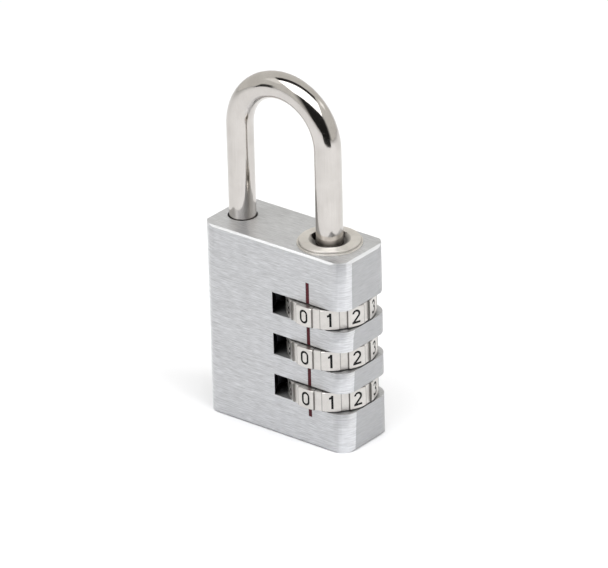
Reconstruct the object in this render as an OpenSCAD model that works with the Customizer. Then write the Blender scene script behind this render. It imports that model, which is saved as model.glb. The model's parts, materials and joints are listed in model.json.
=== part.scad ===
// Three-dial combination padlock for luggage. Millimetres, +Z up.
// X runs along the wide front face, the front is -Y, and the origin is the middle of the base.

/* [Case] */
// Width of the case along X
case_w = 30; // [30:0.5:33]
// Depth of the case along Y
case_d = 12.5; // [12.5:0.1:13.5]
// Height of the case along Z
case_h = 35; // [34.8:0.1:37]
// Radius of the four vertical corners
corner_r = 3; // [2:0.1:3.4]
// Chamfer along the top and bottom edges of the front and back faces
face_chamfer = 0.3; // [0.2:0.05:0.6]
// Chamfer along the top and bottom edges of the two side faces
side_chamfer = 0.4; // [0.3:0.05:0.8]
// Distance from the right side of the case to the axis of the dials and of the long leg
axis_inset = 7.4; // [7.2:0.1:7.6]

/* [Dials] */
// Height of the middle of the lowest dial above the base
first_dial_z = 9.1; // [9.1:0.1:9.3]
// Distance between the middles of neighbouring dials
dial_pitch = 7.6; // [7.6:0.05:7.8]
// Distance from a dial's axis to its flat facets
dial_r = 7.4; // [7.2:0.1:7.6]
// Thickness of a dial
dial_t = 3.5; // [3.4:0.02:3.7]
// Depth of the finger grooves between the facets
groove_depth = 0.32; // [0.2:0.02:0.36]
// Angle that one finger groove takes up
groove_angle = 11; // [8:0.5:12]
// Height of the slots that the dials turn in
slot_h = 3.88; // [3.8:0.02:3.9]
// Radius of the saw that cuts the slots
slot_r = 9.75; // [9.75:0.05:9.9]

/* [Digits] */
// Height of a digit
digit_h = 2.5; // [2:0.1:2.7]
// Width of the strokes that make up a digit
digit_stroke = 0.38; // [0.2:0.02:0.4]
// Depth of the stamped digits, which paint fills
digit_depth = 0.12; // [0.08:0.01:0.15]

/* [Index line] */
// Width of the painted line that the code is read against
index_w = 0.7; // [0.5:0.1:1]
// Depth of the groove that the paint fills
index_depth = 0.15; // [0.1:0.01:0.2]
// Height of the top end of the line above the base
index_top = 30; // [28:0.1:31]
// Height of the bottom end of the line above the base
index_bottom = 5.3; // [3:0.1:6]

/* [Shackle] */
// Radius of the shackle's rod
leg_r = 2.3; // [2.2:0.01:2.35]
// Distance between the axes of the two legs
leg_spacing = 18.4; // [17.5:0.1:18.8]
// Clear height inside the closed shackle, above the case
clear_h = 23.5; // [18:0.1:40]
// Depth to which the short leg goes into the case
toe_depth = 4.5; // [3:0.1:4.8]
// How far the open shackle rises
lift = 5.7; // [5.3:0.1:5.7]

/* [Collar] */
// Radius of the collar's flange
flange_r = 5.5; // [5.2:0.1:5.8]
// Height of the flange above the case
flange_h = 0.7; // [0.5:0.1:1]
// Width of the ledge round the foot of the flange
ledge_w = 0.35; // [0.2:0.05:0.5]
// Radius of the tapered recess round the leg at its mouth, and of the keyways that run down from it
keyway_r = 3.5; // [3.45:0.01:3.6]
// Radius of the recess at its foot
recess_foot_r = 2.6; // [2.5:0.1:3.2]
// Width of the two keyways
keyway_w = 2; // [1.6:0.1:2.2]
// Depth of the recess round the leg
recess_depth = 0.6; // [0.3:0.1:0.6]

/* [Lock works] */
// How far the sleeves slide down to free the dials for a new code
reset_travel = 1.2; // [1.1:0.05:1.2]
// Height of the web in a sleeve that stops a fin
web_h = 1.3; // [1.1:0.1:1.4]
// Height of a fin on the long leg
fin_h = 1.5; // [1.2:0.1:1.6]
// Width of a fin
fin_w = 1.2; // [1:0.1:1.3]
// Thickness of the retaining ring's and the stop washer's sheet
ring_t = 0.4; // [0.3:0.05:0.45]
// Wire diameter of the reset spring
wire_d = 0.5; // [0.4:0.05:0.55]
// Thickness of a detent spring
leaf_t = 0.2; // [0.15:0.01:0.25]

/* [Hidden] */
$fn = 96;
// Overlap that keeps cuts clean, and the hair's breadth between pieces pressed together
eps = 0.01;
// Running fit of the turning pieces, on the radius
running = 0.05;
// Gap between pieces that rest on each other
rest_gap = 0.02;
// Gap between the stacked sleeves, and between the top one and the collar
stack_gap = 0.04;
// Depth of the paint below the faces round it
paint_gap = 0.02;

DIALS = 3;
DIGITS = 10;
step_angle = 360 / DIGITS;

axis_x = case_w / 2 - axis_inset;
toe_x = axis_x - leg_spacing;

// Radii of the nested works, from the leg outwards
leg_gap = 0.08;
fin_gap = 0.1;
key_gap = 0.06;
leg_hole_r = leg_r + leg_gap;
fin_r = leg_r + 1;
chamber_r = fin_r + fin_gap;
sleeve_r = 4.15;
dial_bore_r = sleeve_r + running;
skirt_r = 4.95;
core_r = skirt_r + running;
key_r = 4.85;
key_root_r = 3.95;
notch_r = key_r + key_gap;
key_w = 1;
notch_w = key_w + 2 * key_gap;
gate_w = fin_w + 0.3;
collar_r = 4.5;

// Heights within one sleeve, from the middle of its dial
skirt_gap = 0.27;
sleeve_dip = 0.03;
sleeve_top = dial_t / 2 - sleeve_dip;
skirt_top = -dial_t / 2 - skirt_gap;
skirt_bottom = dial_t / 2 - dial_pitch + reset_travel + fin_gap;
sleeve_bottom = sleeve_top - dial_pitch + stack_gap;
last_sleeve_bottom = -3.2;
web_bottom = -0.6;
key_bottom = 0.15;
key_h = 1;
fin_play = 0.2;
fin_top = web_bottom - reset_travel - fin_play;

// Foot of the long leg: at full lift its washer stops just under the lowest web
stop_gap = 0.08;
tip_h = 0.4;
tip_chamfer = 0.35;
neck_r = 1.75;
ring_r = fin_r - rest_gap;
ring_mouth = 2.4;
washer_z = first_dial_z + web_bottom - lift - stop_gap - ring_t;
ring_z = washer_z - rest_gap - ring_t;
leg_end_z = ring_z - tip_h;

// Stack at the foot of the case
plug_bottom = 0.15;
plug_top = 1.2;
seat_t = 0.35;
seat_top = first_dial_z + last_sleeve_bottom - rest_gap;
seat_r = 4.9;
spring_r = 4.3;
spring_turns = 3.5;

// The collar's chamber takes the top fin at full lift
top_dial_z = first_dial_z + (DIALS - 1) * dial_pitch;
collar_foot = top_dial_z + sleeve_top + stack_gap;
collar_chamber_top = top_dial_z + fin_top + lift + fin_play;
collar_edge = 0.18;
ledge_h = 0.4 * flange_h;

arch_r = leg_spacing / 2;
arch_z = case_h + clear_h - (arch_r - leg_r);
toe_end_z = case_h - toe_depth;
toe_gap = 0.25;
toe_room = 0.8;
toe_hole_r = leg_r + toe_gap;
toe_hole_end_z = toe_end_z - toe_room;

facet_half = (step_angle - groove_angle) / 2;
ridge_r = dial_r / cos(facet_half);
groove_r = ridge_r - groove_depth;
flank_angle = 0.5;
dial_bevel = 0.18;

// The detent spring: a bowed leaf whose ends bear on the slot's curved end
leaf_h = 3;
leaf_half_span = 3.3;
leaf_gap = 0.08;
leaf_nose_r = ridge_r + leaf_gap;
bump_r = 0.35;
bump_gap = 0.04;
bump_reach = groove_r + bump_gap;

// Height of the middle of dial i, counted from the lowest
function dial_z(i) = first_dial_z + i * dial_pitch;

// Places its children on the axis of the dials
module on_axis(z = 0) {
    translate([axis_x, 0, z]) children();
}

// A ring or tube on the Z axis, from height 0
module tube(outer, inner, h) {
    difference() {
        cylinder(r = outer, h = h);
        translate([0, 0, -1]) cylinder(r = inner, h = h + 2);
    }
}

// A block that reaches from the Z axis to radius r along angle a
module spoke(a, r, w, h) {
    rotate([0, 0, a]) translate([0, -w / 2, 0]) cube([r, w, h]);
}

// ---- Case ----

// Rectangle with four round corners
module rounded_plan(w, d, r) {
    square([w, d - 2 * r], center = true);
    square([w - 2 * r, d], center = true);
    for (x = [-1, 1], y = [-1, 1])
        translate([x * (w / 2 - r), y * (d / 2 - r)]) circle(r = r);
}

// Upright outline, w wide and h high from 0, with its four corners cut off by c
module chamfered_outline(w, h, c) {
    polygon([
        [-w / 2 + c, 0], [w / 2 - c, 0], [w / 2, c], [w / 2, h - c],
        [w / 2 - c, h], [-w / 2 + c, h], [-w / 2, h - c], [-w / 2, c]
    ]);
}

// The block before it is drilled and slotted
module case_blank() {
    intersection() {
        linear_extrude(case_h) rounded_plan(case_w, case_d, corner_r);
        rotate([90, 0, 0]) translate([0, 0, -case_d])
            linear_extrude(2 * case_d) chamfered_outline(case_w, case_h, side_chamfer);
        rotate([90, 0, 90]) translate([0, 0, -case_w])
            linear_extrude(2 * case_w) chamfered_outline(case_d, case_h, face_chamfer);
    }
}

// Lower and upper ends of the painted line's pieces, which the slots part
function index_spans() = [
    for (i = [0 : DIALS])
        [i == 0 ? index_bottom : dial_z(i - 1) + slot_h / 2,
         i == DIALS ? index_top : dial_z(i) - slot_h / 2]
];

// The painted line's pieces, sunk by depth and standing out by extra
module index_pieces(depth, extra) {
    for (span = index_spans())
        translate([axis_x - index_w / 2, -case_d / 2 - extra, span[0]])
            cube([index_w, depth + extra, span[1] - span[0]]);
}

module case_body() {
    color("silver") difference() {
        case_blank();
        on_axis(-1) cylinder(r = core_r, h = collar_foot + 1);
        on_axis(collar_foot - 1) cylinder(r = collar_r, h = case_h);
        for (i = [0 : DIALS - 1])
            on_axis(dial_z(i) - slot_h / 2) cylinder(r = slot_r, h = slot_h);
        translate([toe_x, 0, toe_hole_end_z]) cylinder(r = toe_hole_r, h = case_h);
        index_pieces(index_depth, 1);
    }
}

module index_line() {
    color("darkred") difference() {
        index_pieces(index_depth, 0);
        translate([0, -case_d / 2, 0])
            cube([case_w, 2 * paint_gap, 2 * case_h], center = true);
    }
}

// Bushing in the top of the case. Its keyways let the fins through as the lock is put together.
module collar() {
    rim_r = flange_r - ledge_w;
    top = case_h + flange_h;
    recess_foot = top - recess_depth;
    color("gainsboro") on_axis() difference() {
        rotate_extrude() polygon([
            [leg_hole_r, collar_foot], [collar_r - eps, collar_foot],
            [collar_r - eps, case_h], [flange_r, case_h],
            [flange_r, case_h + ledge_h], [rim_r, case_h + ledge_h],
            [rim_r, top - collar_edge], [rim_r - collar_edge, top],
            [keyway_r, top], [recess_foot_r, recess_foot], [leg_hole_r, recess_foot]
        ]);
        translate([0, 0, collar_foot - 1])
            cylinder(r = chamber_r, h = collar_chamber_top - collar_foot + 1);
        for (a = [90, 180])
            translate([0, 0, collar_foot]) spoke(a, keyway_r, keyway_w, case_h);
    }
}

// Disc that closes the foot of the core
module bottom_plug() {
    color("silver") on_axis(plug_bottom)
        cylinder(r = core_r - 2 * eps, h = plug_top - plug_bottom);
}

// ---- Shackle ----

// Outline of the long leg, with its tip and the neck for the retaining ring
function long_leg_outline() = [
    [0, leg_end_z], [leg_r - tip_chamfer, leg_end_z], [leg_r, leg_end_z + tip_chamfer],
    [leg_r, ring_z], [neck_r, ring_z], [neck_r, ring_z + ring_t + eps],
    [leg_r, ring_z + ring_t + eps], [leg_r, arch_z], [0, arch_z]
];

module shackle() {
    color("lightgray") {
        on_axis() rotate_extrude() polygon(long_leg_outline());
        translate([toe_x, 0, 0]) rotate_extrude() polygon([
            [0, toe_end_z], [leg_r - tip_chamfer, toe_end_z],
            [leg_r, toe_end_z + tip_chamfer], [leg_r, arch_z], [0, arch_z]
        ]);
        translate([axis_x - arch_r, 0, arch_z]) rotate([90, 0, 0])
            rotate_extrude(angle = 180) translate([arch_r, 0]) circle(r = leg_r);
        for (i = [0 : DIALS - 1])
            on_axis(dial_z(i) + fin_top - fin_h) spoke(180, fin_r, fin_w, fin_h);
    }
}

// Open ring that snaps into the neck of the long leg
module retaining_ring() {
    color("dimgray") on_axis(ring_z) difference() {
        tube(ring_r, neck_r + eps, ring_t);
        translate([0, 0, -1]) spoke(0, 2 * ring_r, ring_mouth, ring_t + 2);
    }
}

// Washer that spreads the retaining ring's load
module stop_washer() {
    color("darkgray") on_axis(washer_z) tube(ring_r, leg_r + running, ring_t);
}

// ---- Dials ----

// Corners of a dial: flat facets with a shallow groove between each two
function dial_outline() = [
    for (k = [0 : DIGITS - 1])
        let (middle = k * step_angle - 90, half = facet_half, out = half + flank_angle)
            each [
                ridge_r * [cos(middle - half), sin(middle - half)],
                ridge_r * [cos(middle + half), sin(middle + half)],
                groove_r * [cos(middle + out), sin(middle + out)],
                groove_r * [cos(middle + step_angle - out), sin(middle + step_angle - out)]
            ]
];

// Turned disc whose bevels take the corners off a dial's top and bottom
module bevelled_disc() {
    rim = ridge_r + eps;
    rotate_extrude() polygon([
        [0, -dial_t / 2], [rim - dial_bevel, -dial_t / 2], [rim, -dial_t / 2 + dial_bevel],
        [rim, dial_t / 2 - dial_bevel], [rim - dial_bevel, dial_t / 2], [0, dial_t / 2]
    ]);
}

module dial(i) {
    color("lightgray") on_axis(dial_z(i)) difference() {
        intersection() {
            translate([0, 0, -dial_t / 2]) linear_extrude(dial_t) polygon(dial_outline());
            bevelled_disc();
        }
        cylinder(r = dial_bore_r, h = 2 * dial_t, center = true);
        translate([0, 0, -dial_t]) cylinder(r = core_r, h = dial_t);
        for (k = [0 : DIGITS - 1]) spoke(k * step_angle - 90, notch_r, notch_w, dial_t);
        all_digits(digit_depth, 1);
    }
}

module digits(i) {
    color("black") on_axis(dial_z(i)) all_digits(digit_depth, -paint_gap);
}

// The ten digits round a dial, sunk by depth and standing out by extra
module all_digits(depth, extra) {
    for (k = [0 : DIGITS - 1])
        rotate([0, 0, k * step_angle - 90]) translate([dial_r - depth, 0, 0])
            rotate([90, 0, 90]) linear_extrude(depth + extra) digit(k);
}

// ---- Digit shapes, drawn about their middle ----

digit_w = 0.64 * digit_h;
mid_x = (digit_w - digit_stroke) / 2;
mid_y = (digit_h - digit_stroke) / 2;
upper_r = 0.49 * mid_y;
lower_r = 0.53 * mid_y;

// Straight stroke from point a to point b
module bar(a, b) {
    run = b - a;
    translate(a) rotate(atan2(run[1], run[0])) translate([0, -digit_stroke / 2])
        square([norm(run), digit_stroke]);
}

// Curved stroke about point c, from angle a0 round to a1
module arc(c, r, a0, a1) {
    reach = 3 * r;
    steps = 6;
    translate(c) intersection() {
        difference() {
            circle(r = r + digit_stroke / 2);
            circle(r = r - digit_stroke / 2);
        }
        polygon(concat([[0, 0]], [
            for (s = [0 : steps])
                let (a = a0 + (a1 - a0) * s / steps) reach * [cos(a), sin(a)]
        ]));
    }
}

// Full round stroke about point c
module loop(c, r) {
    translate(c) difference() {
        circle(r = r + digit_stroke / 2);
        circle(r = r - digit_stroke / 2);
    }
}

module zero() {
    straight = mid_y - mid_x;
    arc([0, straight], mid_x, 0, 180);
    arc([0, -straight], mid_x, 180, 360);
    for (x = [-mid_x, mid_x]) bar([x, -straight], [x, straight]);
}

module one() {
    stem_x = 0.05 * digit_h;
    flag_r = 0.22 * digit_h;
    bar([stem_x, -digit_h / 2], [stem_x, digit_h / 2]);
    arc([stem_x - flag_r, digit_h / 2], flag_r, 270, 340);
}

module two() {
    centre = [0, mid_y - mid_x];
    bend = -38;
    foot = [-mid_x, -mid_y];
    arc(centre, mid_x, bend, 170);
    bar(foot, centre + mid_x * [cos(bend), sin(bend)]);
    bar([-digit_w / 2, -mid_y], [digit_w / 2, -mid_y]);
}

module three() {
    arc([0, mid_y - upper_r], upper_r, -90, 160);
    arc([0, lower_r - mid_y], lower_r, -160, 90);
}

module four() {
    stem_x = 0.28 * digit_w;
    bar_y = -0.23 * digit_h;
    tip_x = -0.42 * digit_w;
    bar([stem_x, -digit_h / 2], [stem_x, digit_h / 2]);
    bar([-digit_w / 2, bar_y], [digit_w / 2, bar_y]);
    bar([tip_x, bar_y], [stem_x, mid_y]);
}

module five() {
    bowl_r = mid_x;
    start = 140;
    centre = [0, bowl_r - mid_y];
    corner = [-0.72 * mid_x, mid_y];
    arc(centre, bowl_r, -155, start);
    bar(centre + bowl_r * [cos(start), sin(start)], corner + [0, digit_stroke / 2]);
    bar(corner, [mid_x, mid_y]);
}

module six() {
    straight = mid_y - mid_x;
    loop([0, -straight], mid_x);
    bar([-mid_x, -straight], [-mid_x, straight]);
    arc([0, straight], mid_x, 35, 180);
}

module seven() {
    foot_x = -0.22 * digit_w;
    top_x = 0.43 * digit_w;
    bar([-digit_w / 2, mid_y], [digit_w / 2, mid_y]);
    bar([foot_x, -digit_h / 2], [top_x, mid_y]);
}

module eight() {
    loop([0, mid_y - upper_r], upper_r);
    loop([0, lower_r - mid_y], lower_r);
}

module digit(k) {
    if (k == 0) zero();
    if (k == 1) one();
    if (k == 2) two();
    if (k == 3) three();
    if (k == 4) four();
    if (k == 5) five();
    if (k == 6) six();
    if (k == 7) seven();
    if (k == 8) eight();
    if (k == 9) rotate(180) six();
}

// ---- Lock works ----

// Clutch sleeve of dial i. Its keys turn with the dial, and its web stops the fin
// unless the gate stands in line with it. It slides down into the dial below to reset.
module sleeve(i) {
    foot = i == 0 ? last_sleeve_bottom : sleeve_bottom;
    skirt_foot = i == 0 ? last_sleeve_bottom : skirt_bottom;
    color("goldenrod") on_axis(dial_z(i)) {
        difference() {
            rotate_extrude() polygon([
                [chamber_r, foot], [sleeve_r, foot],
                [sleeve_r, skirt_foot], [skirt_r, skirt_foot], [skirt_r, skirt_top],
                [sleeve_r, skirt_top], [sleeve_r, sleeve_top], [chamber_r, sleeve_top],
                [chamber_r, web_bottom + web_h], [leg_hole_r, web_bottom + web_h],
                [leg_hole_r, web_bottom], [chamber_r, web_bottom]
            ]);
            translate([0, 0, web_bottom - eps]) spoke(180, chamber_r, gate_w, web_h + 2 * eps);
        }
        for (a = [-90, 90]) translate([0, 0, key_bottom]) difference() {
            spoke(a, key_r, key_w, key_h);
            cylinder(r = key_root_r, h = 3 * key_h, center = true);
        }
    }
}

// Washer between the reset spring and the lowest sleeve
module spring_seat() {
    color("darkgray") on_axis(seat_top - seat_t) tube(seat_r, chamber_r + fin_gap, seat_t);
}

// Round wire wound from the plug up to the spring seat
module reset_spring() {
    sides = 8;
    per_turn = 24;
    rings = spring_turns * per_turn;
    low = plug_top + wire_d / 2 + rest_gap;
    high = seat_top - seat_t - wire_d / 2 - rest_gap;
    points = [
        for (n = [0 : rings], s = [0 : sides - 1])
            let (
                turn = 360 * n / per_turn,
                side = 360 * s / sides,
                r = spring_r + wire_d / 2 * cos(side),
                z = low + (high - low) * n / rings + wire_d / 2 * sin(side)
            )
                [r * cos(turn), r * sin(turn), z]
    ];
    skin = [
        for (n = [0 : rings - 1], s = [0 : sides - 1])
            let (next = (s + 1) % sides, a = n * sides, b = a + sides)
                each [[a + s, a + next, b + s], [a + next, b + next, b + s]]
    ];
    first_end = [for (s = [0 : sides - 1]) sides - 1 - s];
    last_end = [for (s = [0 : sides - 1]) rings * sides + s];
    color("dimgray") on_axis() polyhedron(points, concat([first_end], skin, [last_end]));
}

// Bowed leaf in the blind end of a slot, with a bump that seats in the dial's grooves
module detent_spring(i) {
    foot_depth = sqrt(pow(slot_r - running, 2) - pow(leaf_half_span, 2));
    sag = foot_depth - leaf_nose_r;
    bow_r = (pow(leaf_half_span, 2) + sag * sag) / (2 * sag);
    color("dimgray") on_axis(dial_z(i) - leaf_h / 2) linear_extrude(leaf_h) {
        translate([-leaf_nose_r - bow_r, 0]) intersection() {
            difference() {
                circle(r = bow_r);
                circle(r = bow_r - leaf_t);
            }
            translate([bow_r - sag, -leaf_half_span]) square([sag, 2 * leaf_half_span]);
        }
        intersection() {
            translate([-bump_reach - bump_r, 0]) circle(r = bump_r);
            translate([-leaf_nose_r - leaf_t, -bump_r]) square(2 * bump_r);
        }
    }
}

case_body();
index_line();
collar();
bottom_plug();
shackle();
retaining_ring();
stop_washer();
dial(0);  // dial_bottom
dial(1);  // dial_middle
dial(2);  // dial_top
digits(0);  // digits_bottom
digits(1);  // digits_middle
digits(2);  // digits_top
sleeve(0);  // sleeve_bottom
sleeve(1);  // sleeve_middle
sleeve(2);  // sleeve_top
spring_seat();
reset_spring();
detent_spring(0);  // detent_spring_bottom
detent_spring(1);  // detent_spring_middle
detent_spring(2);  // detent_spring_top
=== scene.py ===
"""Looks of the three-dial luggage padlock: metals, paint, light and camera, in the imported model's frame."""

import json
from math import cos, degrees, pi, radians, sin

import bmesh
import bpy
from mathutils import Matrix, Vector


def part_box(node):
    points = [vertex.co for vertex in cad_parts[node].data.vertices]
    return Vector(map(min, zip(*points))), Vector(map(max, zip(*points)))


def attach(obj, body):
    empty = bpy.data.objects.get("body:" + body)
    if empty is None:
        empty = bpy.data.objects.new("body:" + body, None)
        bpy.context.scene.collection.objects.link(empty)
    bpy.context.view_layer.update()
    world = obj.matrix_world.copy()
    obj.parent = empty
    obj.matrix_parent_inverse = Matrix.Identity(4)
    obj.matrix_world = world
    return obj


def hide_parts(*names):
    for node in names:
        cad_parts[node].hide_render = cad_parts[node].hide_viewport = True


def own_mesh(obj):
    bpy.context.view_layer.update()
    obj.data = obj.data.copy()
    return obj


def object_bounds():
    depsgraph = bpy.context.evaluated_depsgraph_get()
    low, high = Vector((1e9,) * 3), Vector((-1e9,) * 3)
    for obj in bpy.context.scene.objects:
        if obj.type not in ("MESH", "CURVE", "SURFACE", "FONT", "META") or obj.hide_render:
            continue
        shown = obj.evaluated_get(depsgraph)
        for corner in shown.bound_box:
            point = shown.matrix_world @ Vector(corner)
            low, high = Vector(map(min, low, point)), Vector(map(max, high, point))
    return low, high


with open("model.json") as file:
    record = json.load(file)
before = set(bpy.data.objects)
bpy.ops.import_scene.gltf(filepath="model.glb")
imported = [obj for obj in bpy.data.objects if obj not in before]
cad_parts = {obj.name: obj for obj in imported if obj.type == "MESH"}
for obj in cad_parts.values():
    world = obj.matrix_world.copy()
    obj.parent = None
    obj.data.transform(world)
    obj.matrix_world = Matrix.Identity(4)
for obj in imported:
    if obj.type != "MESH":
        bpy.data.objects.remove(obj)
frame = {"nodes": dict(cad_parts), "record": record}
cad_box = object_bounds()

MM = 0.001

# ---- Sizes in millimetres and degrees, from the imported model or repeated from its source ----

joints = {joint["name"]: joint for joint in frame["record"]["behaviour"]["joints"]}
axis_x = joints["dial_top_turn"]["pos_m"][0] / MM
case_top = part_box("case_body")[1][2] / MM
lock_top = cad_box[1][2] / MM

digit_count = 10
facet_half_angle = 12.5

collar_low, collar_high = (Vector(corner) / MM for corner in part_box("collar"))
flange_r = (collar_high.x - collar_low.x) / 2
shank_r = 4.49
rim_r = flange_r - 0.35
ledge_h = 0.28
recess_r = 3.5
recess_foot_r = 2.6
recess_depth = 0.6
bore_r = 2.38
chamber_r = 3.4
chamber_h = 2.14
keyway_w = 2.0
keyway_angles = (90, 180)

wire_r = 0.25
spring_turns = 3.5

# Roundings of sharp edges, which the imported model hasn't got
deburred_edge = 0.06
plated_edge = 0.05

# ---- Studio, in metres, degrees and watts ----

camera_azimuth, camera_elevation, camera_roll = 38.95, 26.2, -1.5
camera_distance = 0.98
view_width = 0.101
aim_right, aim_up = 1.48 * MM, 25.1 * MM

floor_width = 3.0
black_cloth = ((0.01, 0.01, 0.01), (0.014, 0.013, 0.012))
flag_width = 0.08
flag_gap = 0.01

# ---- Node helpers ----


class Shader:
    """A node material under construction. Each method adds nodes and returns their output."""

    def __init__(self, name, metallic=0.0, anisotropy=0.0, specular=0.5):
        self.material = bpy.data.materials.new(name)
        self.material.use_nodes = True
        self.tree = self.material.node_tree
        self.principled = self.tree.nodes["Principled BSDF"]
        self.principled.inputs["Metallic"].default_value = metallic
        self.principled.inputs["Anisotropic"].default_value = anisotropy
        self.principled.inputs["Specular IOR Level"].default_value = specular

    def add(self, kind, **settings):
        node = self.tree.nodes.new(kind)
        for key, value in settings.items():
            setattr(node, key, value)
        return node

    def feed(self, socket, value):
        """Links an output to a socket, or sets the socket's own value."""
        if isinstance(value, bpy.types.NodeSocket):
            self.tree.links.new(value, socket)
        else:
            socket.default_value = value

    def math(self, operation, a, b=0.0):
        node = self.add("ShaderNodeMath", operation=operation)
        self.feed(node.inputs[0], a)
        self.feed(node.inputs[1], b)
        return node.outputs[0]

    def total(self, *terms):
        """Sum of (value, weight) pairs."""
        result = 0.0
        for value, weight in terms:
            result = self.math("ADD", self.math("MULTIPLY", value, weight), result)
        return result

    def split(self, vector):
        return self.feed_new("ShaderNodeSeparateXYZ", vector).outputs

    def feed_new(self, kind, value):
        node = self.add(kind)
        self.feed(node.inputs[0], value)
        return node

    def position(self, feature=(1, 1, 1)):
        """Place on the piece, measured in features of these sizes in millimetres."""
        scaled = self.add("ShaderNodeVectorMath", operation="DIVIDE")
        self.feed(scaled.inputs[0], self.add("ShaderNodeTexCoord").outputs["Object"])
        scaled.inputs[1].default_value = [size * MM for size in feature]
        return scaled.outputs[0]

    def facing(self, axis):
        """How far the surface faces along an axis, from -1 to 1."""
        return self.split(self.add("ShaderNodeTexCoord").outputs["Normal"])[axis]

    def between(self, value, low, high):
        """1 where value lies between low and high, otherwise 0."""
        above = self.math("GREATER_THAN", value, low)
        below = self.math("LESS_THAN", value, high)
        return self.math("MULTIPLY", above, below)

    def from_axis(self):
        """Distance from the dials' axis in millimetres."""
        place = self.split(self.position())
        x = self.math("SUBTRACT", place["X"], axis_x)
        y = place["Y"]
        squares = self.total((self.math("MULTIPLY", x, x), 1), (self.math("MULTIPLY", y, y), 1))
        return self.math("SQRT", squares)

    def noise(self, feature, detail=2.0, rough=0.5):
        """Noise whose features have these sizes in millimetres, about 0.5."""
        node = self.add("ShaderNodeTexNoise")
        self.feed(node.inputs["Vector"], self.position(feature))
        node.inputs["Scale"].default_value = 1.0
        node.inputs["Detail"].default_value = detail
        node.inputs["Roughness"].default_value = rough
        return node.outputs["Fac"]

    def openness(self, reach):
        """1 on open faces, less in corners and holes narrower than reach in millimetres."""
        node = self.add("ShaderNodeAmbientOcclusion", samples=8, only_local=True)
        node.inputs["Distance"].default_value = reach * MM
        return node.outputs["AO"]

    def wrap(self, value, low, high):
        """Brings value into low..high by whole steps of the range."""
        node = self.add("ShaderNodeMath", operation="WRAP")
        for socket, number in zip(node.inputs, (value, high, low)):
            self.feed(socket, number)
        return node.outputs[0]

    def spread(self, value, low, high, start=0.3, end=0.7):
        """Maps value from start..end onto low..high."""
        node = self.add("ShaderNodeMapRange")
        self.feed(node.inputs["Value"], value)
        node.inputs["From Min"].default_value = start
        node.inputs["From Max"].default_value = end
        node.inputs["To Min"].default_value = low
        node.inputs["To Max"].default_value = high
        return node.outputs["Result"]

    def blend(self, fac, first, second):
        """A number or colour between first and second."""
        colour = isinstance(first, tuple) or getattr(first, "type", "") == "RGBA"
        node = self.add("ShaderNodeMix", data_type="RGBA" if colour else "FLOAT")
        ends = (6, 7) if colour else (2, 3)
        self.feed(node.inputs[0], fac)
        for index, value in zip(ends, (first, second)):
            self.feed(node.inputs[index], (*value, 1) if isinstance(value, tuple) else value)
        return node.outputs[2 if colour else 0]

    def bump(self, height, depth, under=None):
        """Relief of that depth in millimetres, on top of another relief if one is given."""
        node = self.add("ShaderNodeBump")
        node.inputs["Distance"].default_value = depth * MM
        self.feed(node.inputs["Height"], height)
        if under is not None:
            self.feed(node.inputs["Normal"], under)
        return node.outputs["Normal"]

    def stretch_highlights(self, x, y, z):
        """Draws highlights out along a direction."""
        along = self.add("ShaderNodeCombineXYZ")
        for socket, value in zip(along.inputs, (x, y, z)):
            self.feed(socket, value)
        self.feed(self.principled.inputs["Tangent"], along.outputs[0])

    def finish(self, colour, roughness, normal=None):
        self.feed(self.principled.inputs["Base Color"], colour)
        self.feed(self.principled.inputs["Roughness"], roughness)
        if normal is not None:
            self.feed(self.principled.inputs["Normal"], normal)
        return self.material


# ---- Materials ----


def brushed_aluminium():
    """Aluminium brushed along the width of the case, with painted highlights on its rounded corners, top and
    upper chamfers, and painted shade on its sides, lower chamfers and in its slots.
    """
    s = Shader("brushed_aluminium", metallic=1.0, anisotropy=0.75)
    up = s.facing("Z")
    front = s.math("MULTIPLY", s.facing("Y"), -1.0)
    side = s.math("ABSOLUTE", s.facing("X"))
    top_facing = s.math("GREATER_THAN", s.math("ABSOLUTE", up), 0.9)
    # Across the brushing: upright on the walls, along Y on the top
    s.stretch_highlights(0.0, top_facing, s.math("SUBTRACT", 1.0, top_facing))

    def streaks(length, width, detail=2.0):
        on_walls = s.noise((length, length, width), detail)
        on_top = s.noise((length, width, length), detail)
        return s.blend(top_facing, on_walls, on_top)

    bands, lines, hairs = streaks(9.0, 0.4), streaks(2.2, 0.13), streaks(1.0, 0.08)
    brushing = s.total((bands, 0.12), (lines, 0.58), (hairs, 0.3))
    upper_chamfer = s.between(up, 0.3, 0.9)
    lower_chamfer = s.between(up, -0.9, -0.3)
    # Painted highlight on the rounded front corners
    painted_corner_highlight = s.math("MULTIPLY", s.spread(front, 1, 0, 0.80, 0.97), s.math("GREATER_THAN", front, 0.1))
    sideways = s.math("MULTIPLY", s.math("GREATER_THAN", side, 0.25), s.math("LESS_THAN", front, 0.1))
    contrast = s.blend(sideways, 0.20, 0.07)
    streaky = s.math("MULTIPLY", s.spread(brushing, -1, 1, 0.35, 0.65), contrast)
    # Painted light in the tone: the top and upper chamfers are painted lighter, and the sides and lower
    # chamfers painted darker, as the light falls on them
    tone = s.total((streaky, 1), (painted_corner_highlight, 0.28), (sideways, -0.16), (top_facing, 0.2),
                   (upper_chamfer, 0.3), (lower_chamfer, -0.3), (0.38, 1))
    metal = s.blend(tone, (0.34, 0.343, 0.35), (0.90, 0.91, 0.935))
    # Painted shade: slots and corners narrower than 3 mm are painted nearly black
    colour = s.blend(s.spread(s.openness(3.0), 0, 1, 0.5, 0.95), (0.012, 0.012, 0.012), metal)
    roughness = s.blend(upper_chamfer, s.spread(brushing, 0.46, 0.36), 0.28)
    return s.finish(colour, roughness, s.bump(brushing, 0.012))


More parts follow.
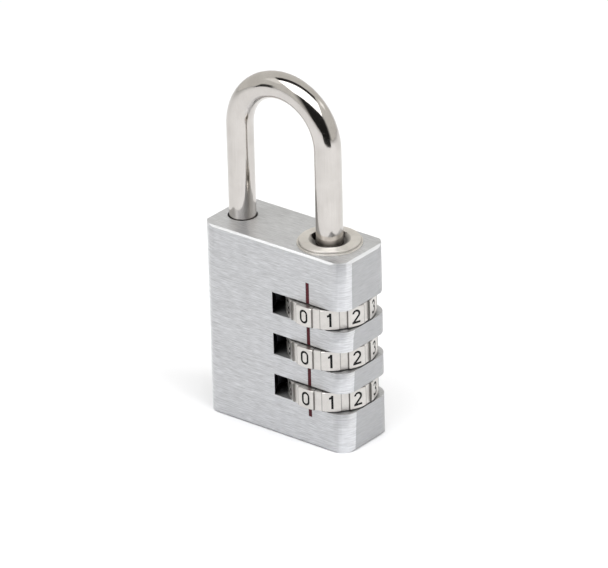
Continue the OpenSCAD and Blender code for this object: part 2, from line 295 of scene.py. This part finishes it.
def polished_nickel():
    """Warm bright plate with faint drawing lines along the rod."""
    s = Shader("polished_nickel", metallic=1.0)
    lines = s.noise((0.12, 0.12, 5.0))
    haze = s.noise((3.0, 3.0, 3.0), detail=3.0)
    tone = s.total((haze, 0.6), (lines, 0.4))
    colour = s.blend(s.spread(tone, 0, 1), (0.50, 0.475, 0.45), (0.60, 0.575, 0.55))
    roughness = s.total((s.spread(haze, 0.06, 0.11), 1), (s.spread(lines, 0, 0.03), 1))
    return s.finish(colour, roughness, s.bump(lines, 0.0015, under=s.bump(haze, 0.008)))


def turned_nickel():
    """The same plate on the collar, whose turning rings draw highlights out across them.

    Upright walls in the recess get painted shade that deepens over fade_depth below its mouth. Its taper is
    painted nearly black as shade, and narrow corners get painted shade too.
    """
    fade_depth = 0.45
    taper_shade = 0.04
    margin = 0.02
    s = Shader("turned_nickel", metallic=1.0, anisotropy=0.95)
    place = s.split(s.position())
    s.stretch_highlights(s.math("SUBTRACT", place["X"], axis_x), place["Y"], 1.0)
    rings = s.noise((2.0, 2.0, 0.1))
    haze = s.noise((1.5, 1.5, 1.5), detail=3.0)
    colour = s.blend(s.spread(haze, 0, 1), (0.76, 0.73, 0.69), (0.87, 0.84, 0.80))
    # Painted shade in the recess: upright walls darken towards its foot, the taper is nearly black, and
    # narrow corners darken too
    painted_wall_shade = s.spread(place["Z"], 0.12, 0.75, collar_high.z - fade_depth, collar_high.z)
    upright = s.math("LESS_THAN", s.math("ABSOLUTE", s.facing("Z")), 0.3)
    in_recess = s.math("LESS_THAN", s.from_axis(), recess_r + margin)
    painted_recess_shade = s.blend(in_recess, 1.0, s.blend(upright, painted_wall_shade, taper_shade))
    shade = s.math("MULTIPLY", s.spread(s.openness(0.4), 0.2, 1, 0.4, 0.85), painted_recess_shade)
    roughness = s.total((s.spread(haze, 0.38, 0.44), 1), (s.spread(rings, 0, 0.05), 1))
    return s.finish(s.blend(shade, (0.03, 0.026, 0.023), colour), roughness, s.bump(haze, 0.01))


def satin_nickel():
    """Dull plate on the cast dials, with painted shade along the edges of the finger grooves, on the downward
    bevels and in narrow hollows.
    """
    s = Shader("satin_nickel", metallic=1.0)
    place = s.split(s.position())
    turn = s.math("ARCTAN2", place["Y"], s.math("SUBTRACT", place["X"], axis_x))
    half_step = pi / digit_count
    from_facet = s.math("ABSOLUTE", s.wrap(s.math("SUBTRACT", turn, half_step), -half_step, half_step))
    from_edge = s.math("ABSOLUTE", s.math("SUBTRACT", from_facet, radians(facet_half_angle)))
    # Painted shade along the edges of the finger grooves
    painted_groove_edge_shade = s.spread(from_edge, 1, 0, radians(0.25), radians(0.9))
    grain = s.noise((0.14, 0.14, 0.14), detail=3.0, rough=0.6)
    haze = s.noise((1.4, 1.4, 1.4))
    tone = s.total((s.spread(haze, 0, 1), 0.6), (s.spread(grain, 0, 1), 0.4))
    metal = s.blend(tone, (0.54, 0.52, 0.495), (0.68, 0.66, 0.635))
    # Painted shade on the downward bevels along the dials' lower edges
    painted_bevel_shade = s.between(s.facing("Z"), -0.9, -0.25)
    painted_edge_shade = s.math("MULTIPLY", s.blend(painted_groove_edge_shade, 1.0, 0.35), s.blend(painted_bevel_shade, 1.0, 0.15))
    # Painted shade in hollows narrower than 0.3 mm
    shade = s.math("MULTIPLY", s.spread(s.openness(0.3), 0.1, 1, 0.35, 0.8), painted_edge_shade)
    colour = s.blend(shade, (0.03, 0.028, 0.025), metal)
    roughness = s.total((s.spread(haze, 0.30, 0.40), 1), (s.spread(grain, -0.03, 0.05), 1))
    return s.finish(colour, roughness, s.bump(grain, 0.012))


def paint(name, first, second, roughness):
    """Matt paint in a stamped groove, a little uneven."""
    s = Shader(name, specular=0.2)
    mottle = s.noise((0.3, 0.3, 0.3), detail=3.0)
    colour = s.blend(s.spread(mottle, 0, 1), first, second)
    gloss = s.spread(mottle, roughness - 0.06, roughness + 0.08)
    return s.finish(colour, gloss, s.bump(mottle, 0.01))


def turned_metal(name, first, second, roughness):
    """Metal turned on a lathe, with fine rings round the dials' axis."""
    s = Shader(name, metallic=1.0)
    rings = s.noise((3.0, 3.0, 0.11))
    haze = s.noise((1.6, 1.6, 1.6), detail=3.0)
    colour = s.blend(s.spread(haze, 0, 1), first, second)
    gloss = s.total((s.spread(haze, roughness - 0.05, roughness + 0.06), 1), (s.spread(rings, 0, 0.05), 1))
    return s.finish(colour, gloss, s.bump(rings, 0.008))


MATERIALS = {
    "brushed_aluminium": brushed_aluminium(),
    "polished_nickel": polished_nickel(),
    "turned_nickel": turned_nickel(),
    "satin_nickel": satin_nickel(),
    "red_paint": paint("red_paint", (0.055, 0.005, 0.010), (0.095, 0.009, 0.016), 0.45),
    "black_paint": paint("black_paint", (0.003, 0.003, 0.003), (0.009, 0.009, 0.009), 0.55),
    "brass": turned_metal("brass", (0.62, 0.45, 0.20), (0.78, 0.60, 0.30), 0.28),
    "spring_steel": turned_metal("spring_steel", (0.035, 0.036, 0.042), (0.07, 0.072, 0.08), 0.3),
}


def finish_nodes():
    """Gives each CAD node the material of its slot."""
    for part in frame["record"]["subparts"]:
        mesh = frame["nodes"][part["node"]].data
        mesh.materials.clear()
        mesh.materials.append(MATERIALS[part["material_slot"]])


# ---- Shapes ----


def soften(width, *nodes, weld_gap=0.001, sharpest_kept=25):
    """Rounds CAD nodes' edges that turn by more than sharpest_kept degrees. Widths are in millimetres."""
    for name in nodes:
        obj = frame["nodes"][name]
        weld = obj.modifiers.new("weld", "WELD")
        weld.merge_threshold = weld_gap * MM
        bevel = obj.modifiers.new("bevel", "BEVEL")
        bevel.width = width * MM
        bevel.segments = 2
        bevel.limit_method = "ANGLE"
        bevel.angle_limit = radians(sharpest_kept)
        bevel.harden_normals = True


def filleted(corners, steps=5):
    """Closed outline of (r, z, fillet radius) corners, with each corner rounded off."""
    outline = []
    for index, (r, z, fillet) in enumerate(corners):
        corner = Vector((r, z))
        before = Vector(corners[index - 1][:2]) - corner
        after = Vector(corners[(index + 1) % len(corners)][:2]) - corner
        before.normalize()
        after.normalize()
        start, end = corner + before * fillet, corner + after * fillet
        for step in range(steps + 1):
            t = step / steps
            outline.append(start * (1 - t) ** 2 + corner * 2 * t * (1 - t) + end * t ** 2)
    return outline


def turned_solid(name, outline, segments=180):
    """Solid of revolution about the dials' axis."""
    mesh = bmesh.new()
    rings = []
    for segment in range(segments):
        angle = 2 * pi * segment / segments
        rings.append([mesh.verts.new(((axis_x + r * cos(angle)) * MM, r * sin(angle) * MM, z * MM))
                      for r, z in outline])
    for segment in range(segments):
        here, there = rings[segment], rings[(segment + 1) % segments]
        for index in range(len(outline)):
            before = index - 1
            mesh.faces.new((here[before], there[before], there[index], here[index]))
    return linked(name, mesh)


def linked(name, mesh):
    """Object made from a bmesh, in the scene."""
    bmesh.ops.recalc_face_normals(mesh, faces=mesh.faces)
    data = bpy.data.meshes.new(name)
    mesh.to_mesh(data)
    mesh.free()
    obj = bpy.data.objects.new(name, data)
    bpy.context.scene.collection.objects.link(obj)
    return obj


def bar_from_axis(angle, length, width, low, high):
    """Upright bar that reaches out from the dials' axis along an angle in degrees."""
    mesh = bmesh.new()
    bmesh.ops.create_cube(mesh, size=1.0)
    size = Matrix.Diagonal((length, width, high - low, 1))
    out = Matrix.Translation((length / 2, 0, (low + high) / 2))
    turn = Matrix.Translation((axis_x, 0, 0)) @ Matrix.Rotation(radians(angle), 4, "Z")
    mesh.transform(Matrix.Scale(MM, 4) @ turn @ out @ size)
    return linked("cutter", mesh)


def cut(obj, cutter):
    """Takes the cutter's shape out of the object, and the cutter out of the scene."""
    step = obj.modifiers.new("cut", "BOOLEAN")
    step.operation = "DIFFERENCE"
    step.object = cutter
    graph = bpy.context.evaluated_depsgraph_get()
    obj.data = bpy.data.meshes.new_from_object(obj.evaluated_get(graph))
    obj.modifiers.clear()
    bpy.data.objects.remove(cutter)


def smooth(obj, sharp_angle=35):
    """Smooth shading that keeps flats flat and creases sharp."""
    obj.data.shade_smooth()
    obj.data.set_sharp_from_angle(angle=radians(sharp_angle))
    weighted = obj.modifiers.new("weighted", "WEIGHTED_NORMAL")
    weighted.keep_sharp = True


def collar():
    """Turned and plated bushing with a ledge round its foot and two keyways beside the leg."""
    foot, top = collar_low.z, collar_high.z
    ledge_top = case_top + ledge_h
    recess_foot = top - recess_depth
    chamber_top = foot + chamber_h
    tight, crisp, plain, entry, worn = 0.01, 0.03, 0.05, 0.1, 0.14
    overshoot = 1.0
    obj = turned_solid("collar_turned", filleted([
        (chamber_r, foot, plain),
        (shank_r, foot, entry),
        (shank_r, case_top, tight),
        (flange_r, case_top, crisp),
        (flange_r, ledge_top, plain),
        (rim_r, ledge_top, crisp),
        (rim_r, top, worn),
        (recess_r, top, plain),
        (recess_foot_r, recess_foot, plain),
        (bore_r, recess_foot, plain),
        (bore_r, chamber_top, plain),
        (chamber_r, chamber_top, plain),
    ]))
    for angle in keyway_angles:
        cut(obj, bar_from_axis(angle, recess_r, keyway_w, foot - overshoot, top + overshoot))
    smooth(obj)
    obj.data.materials.append(MATERIALS["turned_nickel"])
    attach(obj, "case")
    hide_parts("collar")


def coil(name, radius, low, high, per_turn=48, sides=12):
    """Round wire wound about the dials' axis. Its middle line climbs from low to high."""
    mesh = bmesh.new()
    steps = round(spring_turns * per_turn)
    rings = []
    for step in range(steps + 1):
        turn = 2 * pi * step / per_turn
        climb = low + (high - low) * step / steps
        ring = []
        for side in range(sides):
            around = 2 * pi * side / sides
            r, z = radius + wire_r * cos(around), climb + wire_r * sin(around)
            ring.append(mesh.verts.new(((axis_x + r * cos(turn)) * MM, r * sin(turn) * MM, z * MM)))
        rings.append(ring)
    for here, there in zip(rings, rings[1:]):
        for side in range(sides):
            mesh.faces.new((here[side - 1], here[side], there[side], there[side - 1]))
    mesh.faces.new(rings[0])
    mesh.faces.new(rings[-1])
    return linked(name, mesh)


def reset_spring():
    """The spring under the sleeves, wound to the size of the imported part."""
    low, high = (Vector(corner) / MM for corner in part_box("reset_spring"))
    obj = coil("reset_coil", (high.y - low.y) / 2 - wire_r, low.z + wire_r, high.z - wire_r)
    obj.data.shade_smooth()
    obj.data.materials.append(MATERIALS["spring_steel"])
    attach(obj, "case")
    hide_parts("reset_spring")
    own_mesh(obj)


finish_nodes()
soften(deburred_edge, "case_body", "bottom_plug")
soften(plated_edge, "dial_bottom", "dial_middle", "dial_top")
collar()
reset_spring()

# ---- Light and camera ----


def direction(azimuth, elevation):
    """Unit vector towards a viewer; azimuth 0 is in front of the lock and 90 to its right."""
    az, el = radians(azimuth), radians(elevation)
    return Vector((sin(az) * cos(el), -cos(az) * cos(el), sin(el)))


def face_lock(obj, azimuth, elevation, distance):
    """Stands a light or panel off in that direction, facing the lock's middle."""
    toward = direction(azimuth, elevation)
    obj.location = Vector((0, 0, lock_top / 2 * MM)) + toward * distance
    obj.rotation_euler = toward.to_track_quat("Z", "Y").to_euler()


def panel(name, width, height, first, second):
    """Flat matt studio panel at the origin, slightly mottled between two greys."""
    x, y = width / 2, height / 2
    mesh = bpy.data.meshes.new(name)
    mesh.from_pydata([(-x, -y, 0), (x, -y, 0), (x, y, 0), (-x, y, 0)], [], [(0, 1, 2, 3)])
    shader = Shader(name)
    mottle = shader.spread(shader.noise((60.0, 60.0, 60.0)), 0, 1)
    mesh.materials.append(shader.finish(shader.blend(mottle, first, second), roughness=0.9))
    obj = bpy.data.objects.new(name, mesh)
    bpy.context.scene.collection.objects.link(obj)
    return obj


def softbox(name, azimuth, elevation, distance, width, height, power, mirrored=True):
    """Area light that faces the lock's middle. One that isn't mirrored doesn't light the metal."""
    data = bpy.data.lights.new(name, "AREA")
    data.shape = "RECTANGLE"
    data.size = width
    data.size_y = height
    data.energy = power
    light = bpy.data.objects.new(name, data)
    face_lock(light, azimuth, elevation, distance)
    light.visible_glossy = mirrored
    bpy.context.scene.collection.objects.link(light)


def flagged_softbox(name, azimuth, elevation, distance, width, height, power):
    """Softbox with a black flag along its far edge, which polished metal mirrors as a dark line."""
    softbox(name, azimuth, elevation, distance, width, height, power)
    cloth = panel(name + "_flag", width, height + flag_width, *black_cloth)
    face_lock(cloth, azimuth, elevation + degrees(flag_width / 2 / distance), distance + flag_gap)
    cloth.visible_camera = False


def reflection_card(name, azimuth, distance, width, height):
    """Dark card that stands on the floor, seen only in reflections, like the dark past a table's edge."""
    card = panel(name, width, height, *black_cloth)
    face_lock(card, azimuth, 0, distance)
    card.location.z = height / 2
    card.visible_camera = False
    card.visible_diffuse = False
    card.visible_shadow = False


def surroundings(bright_azimuth, bright, dark):
    """Light walls all round, which fade to a dark room on the side opposite to bright_azimuth."""
    # Cosines of the angle from bright_azimuth
    fade_dark, fade_bright = -0.80, -0.62
    world = bpy.data.worlds.new("studio")
    world.use_nodes = True
    tree = world.node_tree
    place = tree.nodes.new("ShaderNodeTexCoord")
    level = tree.nodes.new("ShaderNodeVectorMath")
    level.operation = "MULTIPLY"
    level.inputs[1].default_value = (1, 1, 0)
    heading = tree.nodes.new("ShaderNodeVectorMath")
    heading.operation = "NORMALIZE"
    toward = tree.nodes.new("ShaderNodeVectorMath")
    toward.operation = "DOT_PRODUCT"
    toward.inputs[1].default_value = direction(bright_azimuth, 0)
    fade = tree.nodes.new("ShaderNodeMapRange")
    fade.inputs["From Min"].default_value = fade_dark
    fade.inputs["From Max"].default_value = fade_bright
    fade.inputs["To Min"].default_value = dark
    fade.inputs["To Max"].default_value = bright
    tree.links.new(place.outputs["Generated"], level.inputs[0])
    tree.links.new(level.outputs[0], heading.inputs[0])
    tree.links.new(heading.outputs[0], toward.inputs[0])
    tree.links.new(toward.outputs["Value"], fade.inputs["Value"])
    tree.links.new(fade.outputs["Result"], tree.nodes["Background"].inputs["Strength"])
    tree.nodes["Background"].inputs["Color"].default_value = (1, 0.985, 0.94, 1)
    bpy.context.scene.world = world


def camera():
    """Long lens from the front right, a little above, with a slight roll."""
    data = bpy.data.cameras.new("camera")
    data.lens = data.sensor_width * camera_distance / view_width
    data.clip_start = 0.01
    obj = bpy.data.objects.new("camera", data)
    toward = direction(camera_azimuth, camera_elevation)
    right = Vector((cos(radians(camera_azimuth)), sin(radians(camera_azimuth)), 0))
    target = Vector((0, 0, aim_up)) + right * aim_right
    obj.location = target + toward * camera_distance
    turn = toward.to_track_quat("Z", "Y").to_matrix() @ Matrix.Rotation(radians(camera_roll), 3, "Z")
    obj.rotation_euler = turn.to_euler()
    bpy.context.scene.collection.objects.link(obj)
    bpy.context.scene.camera = obj


panel("floor", floor_width, floor_width, (0.955, 0.96, 0.98), (0.965, 0.97, 0.99))
camera()
surroundings(bright_azimuth=216, bright=0.82, dark=0.02)
flagged_softbox("bank", azimuth=31, elevation=73, distance=0.5, width=0.78, height=0.52, power=3.82)
reflection_card("front_card", azimuth=48, distance=0.24, width=0.22, height=0.055)
reflection_card("left_card", azimuth=319, distance=0.4, width=0.075, height=0.115)
softbox("left_strip", azimuth=308, elevation=44, distance=0.6, width=0.25, height=0.2, power=0.05)
softbox("right_strip", azimuth=148, elevation=36, distance=0.6, width=0.25, height=0.2, power=0.12)
softbox("right_fill", azimuth=90, elevation=35, distance=0.5, width=0.3, height=0.3, power=0.55,
        mirrored=False)
bpy.context.scene.view_settings.view_transform = "Standard"
